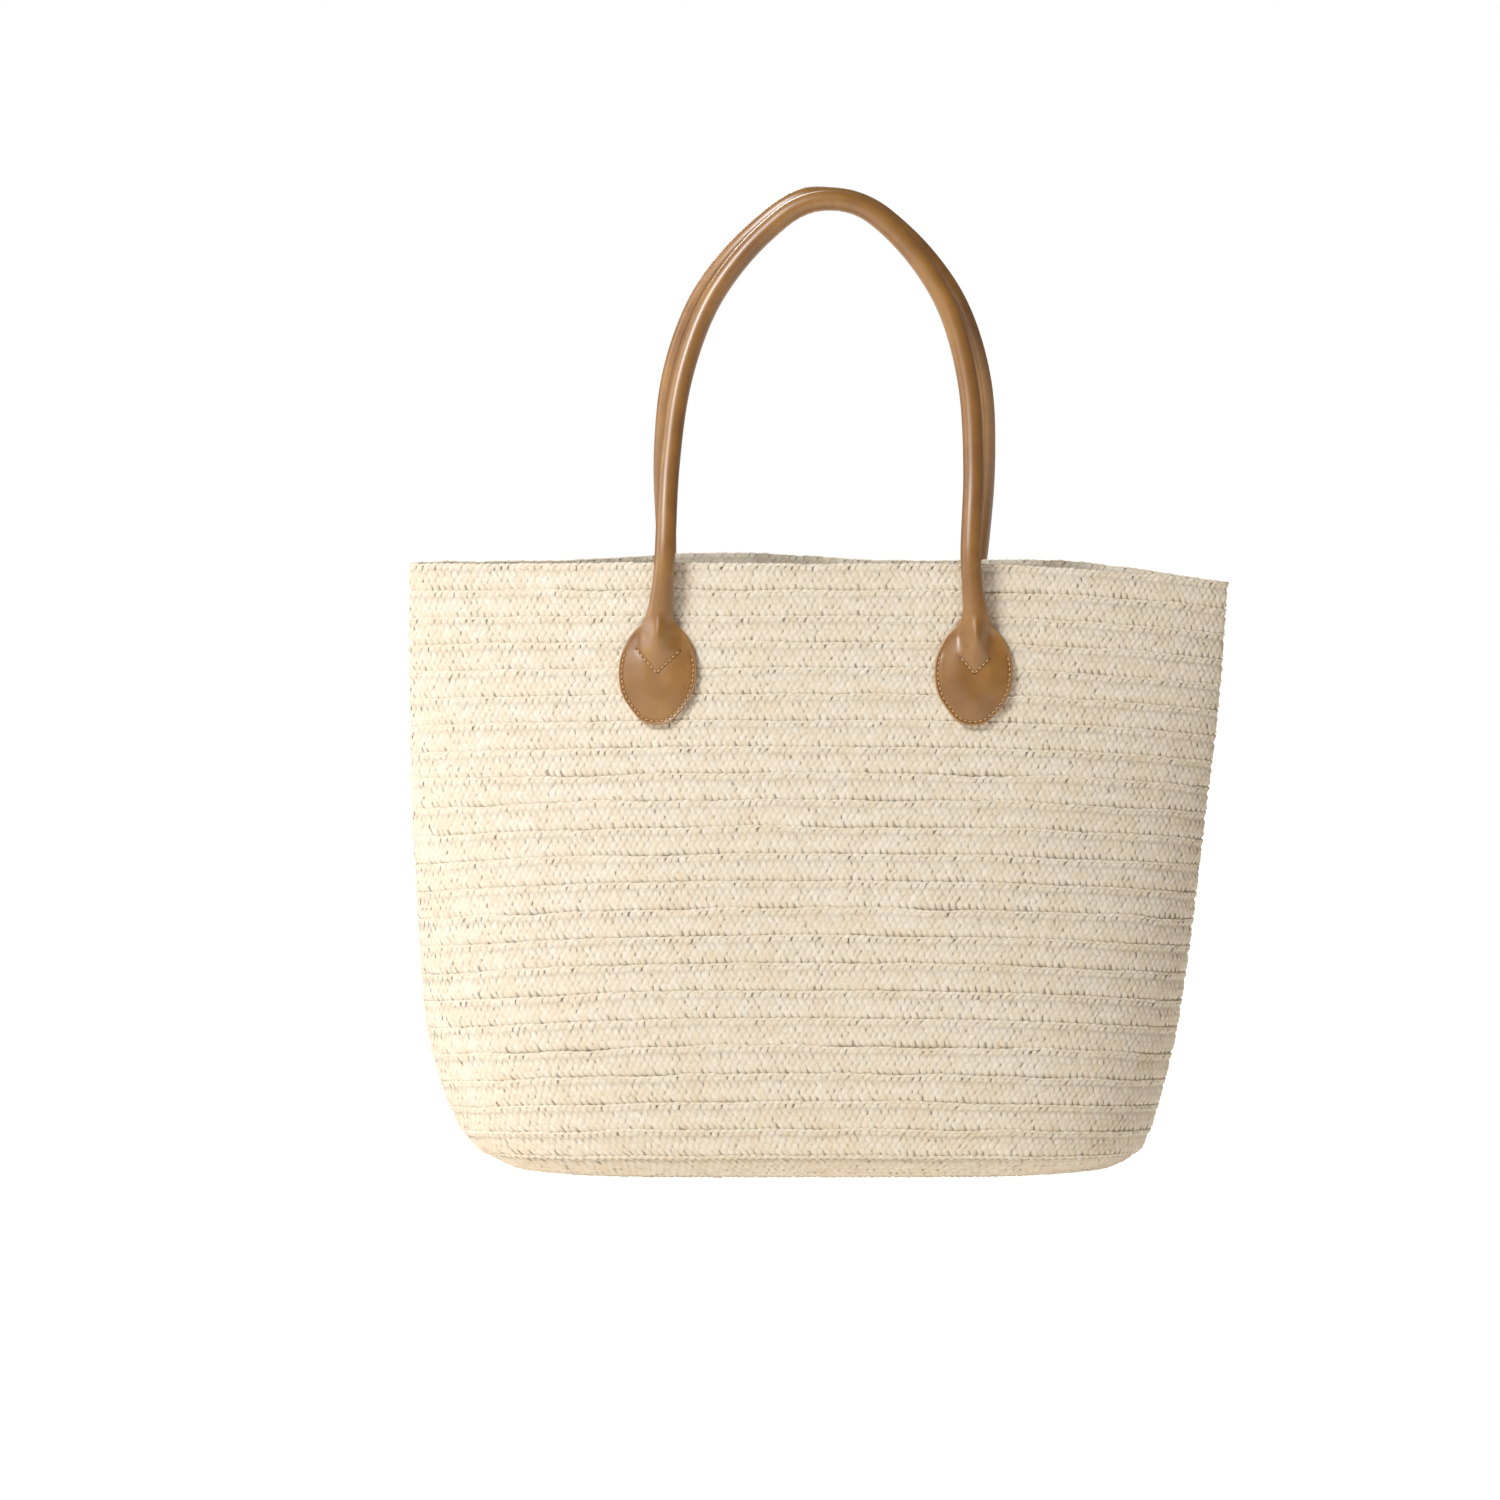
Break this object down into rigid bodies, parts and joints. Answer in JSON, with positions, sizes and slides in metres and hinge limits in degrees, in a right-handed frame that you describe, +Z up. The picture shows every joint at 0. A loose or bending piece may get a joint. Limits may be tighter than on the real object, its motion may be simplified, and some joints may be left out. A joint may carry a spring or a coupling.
{
  "type": "straw basket bag",
  "caption": "Wide open-topped tote of sewn straw plait that narrows to a rounded oval base, with two tall rolled leather handles ending in egg-shaped pads.",
  "frame": {"origin": "middle of the flat underside, on the surface that the bag stands on", "axes": "+Z up, +X along the bag's width to the right as seen from the front, the front faces -Y"},
  "size_m": [0.442, 0.1318, 0.5308],
  "materials": {
    "straw": "natural cream straw plait, matt with a slight sheen on each strand",
    "leather": "smooth tan leather, satin"
  },
  "bodies": {
    "root": {"straw_body": "straw", "handle_front": "leather", "handle_back": "leather"}
  },
  "joints": []
}
